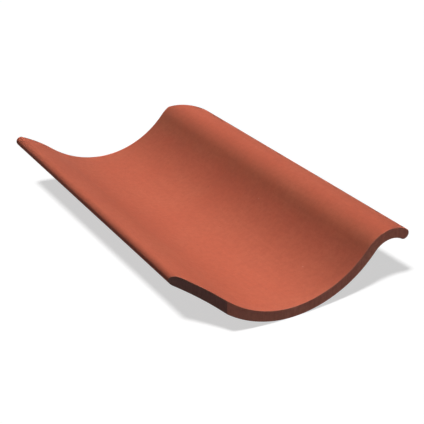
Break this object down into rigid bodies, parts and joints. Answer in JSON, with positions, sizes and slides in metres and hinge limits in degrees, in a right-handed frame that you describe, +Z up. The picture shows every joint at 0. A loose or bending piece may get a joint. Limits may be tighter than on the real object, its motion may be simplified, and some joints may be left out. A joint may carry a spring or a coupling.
{
  "type": "clay pantile",
  "caption": "S-shaped hollow pantile of red fired clay with a curved pan, a roll that laps the next tile, mitred corners and a hanging nib under its head.",
  "frame": {"origin": "middle of the underside of the tile's bounding box, on the floor it lies on", "axes": "+Y from the tail to the head, +X across from the wing to the roll, +Z up"},
  "size_m": [0.235, 0.4118, 0.0735],
  "materials": {
    "fired_clay": "matte unglazed"
  },
  "bodies": {
    "root": {"pantile": "fired_clay"}
  },
  "joints": []
}
